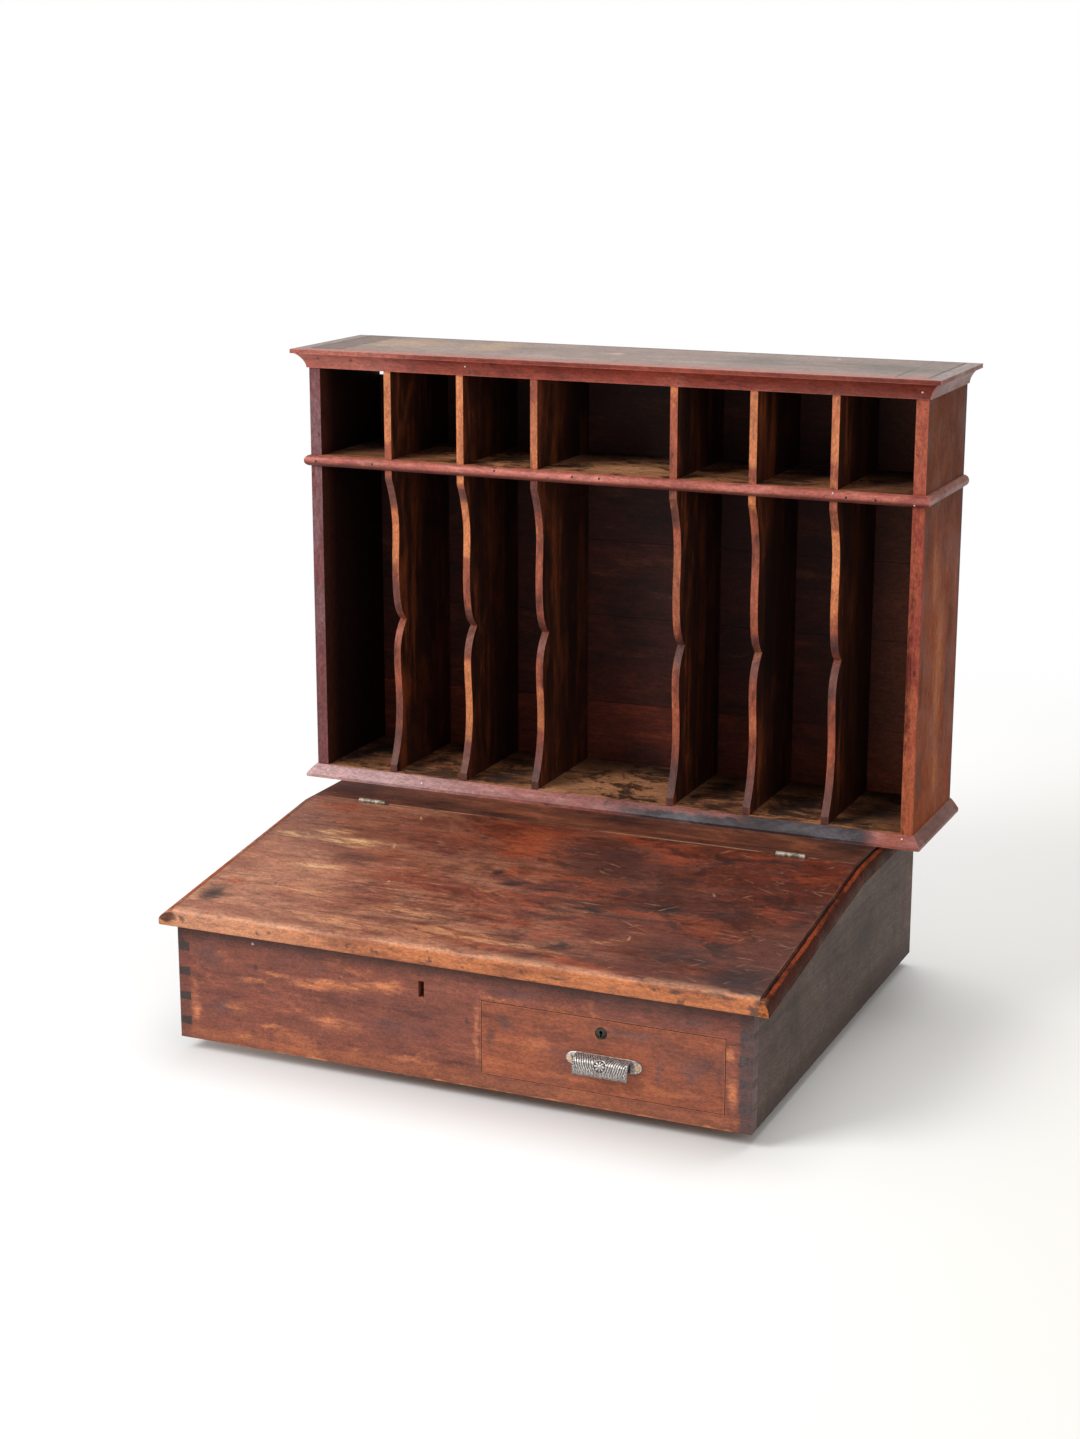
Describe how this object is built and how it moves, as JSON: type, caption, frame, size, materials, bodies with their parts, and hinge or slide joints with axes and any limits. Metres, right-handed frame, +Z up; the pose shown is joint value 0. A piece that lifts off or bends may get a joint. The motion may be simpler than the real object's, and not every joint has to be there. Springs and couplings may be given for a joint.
{
  "type": "slant-top counter desk with pigeonhole hutch",
  "caption": "Low slant-top counter desk with a lift-up lid and a drawer in its front, carrying an open pigeonhole hutch with scalloped dividers.",
  "frame": {"origin": "on the floor, under the middle of the footprint's bounding box", "axes": "+X to the right of someone facing the drawer, +Y from the drawer front towards the back, +Z up"},
  "size_m": [0.804, 0.615, 0.749],
  "materials": {
    "hutch_case_wood": "worn red-brown stain, greyer on top",
    "divider_wood": "brick-red stain worn to bare orange wood along the front edges",
    "shelf_wood": "bare orange-brown wood with dark stains",
    "back_plank_wood": "dark brown, unfinished",
    "moulding_wood": "brick-red stain, rubbed",
    "lid_wood": "mottled red-brown stain with worn patches and ink stains",
    "front_wood": "red-brown stain worn to orange",
    "desk_side_wood": "dark grey-brown, weathered",
    "inner_wood": "unfinished softwood, aged",
    "pull_metal": "worn silvery plating over dark cast metal",
    "brass": "dull aged brass",
    "escutcheon_brass": "blackened brass",
    "lock_metal": "dull iron"
  },
  "bodies": {
    "desk": {"back_plank_1": "back_plank_wood", "back_plank_2": "back_plank_wood", "back_plank_3": "back_plank_wood", "back_plank_4": "back_plank_wood", "back_plank_5": "back_plank_wood", "base_moulding_front": "moulding_wood", "base_moulding_left": "moulding_wood", "base_moulding_right": "moulding_wood", "bead_front": "moulding_wood", "bead_left": "moulding_wood", "bead_right": "moulding_wood", "crown_front": "moulding_wood", "crown_left": "moulding_wood", "crown_right": "moulding_wood", "desk_back": "desk_side_wood", "desk_bottom": "inner_wood", "desk_front": "front_wood", "desk_side_left": "desk_side_wood", "desk_side_right": "desk_side_wood", "drawer_guide_right": "inner_wood", "drawer_partition": "inner_wood", "drawer_rear_wall": "inner_wood", "drawer_runners": "inner_wood", "dust_board": "inner_wood", "floor_batten_left": "inner_wood", "floor_batten_right": "inner_wood", "hinge_pins": "brass", "hinge_rail": "lid_wood", "hinge_rail_leaves": "brass", "hutch_bottom": "shelf_wood", "hutch_shelf": "shelf_wood", "hutch_side_left": "hutch_case_wood", "hutch_side_right": "hutch_case_wood", "hutch_top": "hutch_case_wood", "lid_lock": "lock_metal", "lower_divider_1": "divider_wood", "lower_divider_2": "divider_wood", "lower_divider_3": "divider_wood", "lower_divider_4": "divider_wood", "lower_divider_5": "divider_wood", "lower_divider_6": "divider_wood", "upper_divider_1": "divider_wood", "upper_divider_2": "divider_wood", "upper_divider_3": "divider_wood", "upper_divider_4": "divider_wood", "upper_divider_5": "divider_wood", "upper_divider_6": "divider_wood"},
    "lid": {"lid": "lid_wood", "hinge_lid_leaves": "brass", "lid_lock_link_plate": "lock_metal"},
    "drawer": {"drawer_front": "front_wood", "drawer_side_left": "inner_wood", "drawer_side_right": "inner_wood", "drawer_back": "inner_wood", "drawer_bottom": "inner_wood", "drawer_pull": "pull_metal", "pull_screws": "brass", "drawer_escutcheon": "escutcheon_brass", "drawer_lock": "lock_metal"}
  },
  "joints": [
    {"name": "lid_hinge", "type": "hinge", "parent": "desk", "child": "lid", "pos_m": [-0.005, 0.028, 0.214], "axis": [-1, 0, 0], "range_deg": [0, 111]},
    {"name": "drawer_slide", "type": "slide", "parent": "desk", "child": "drawer", "axis": [0, -1, 0], "range_m": [0, 0.32]}
  ]
}
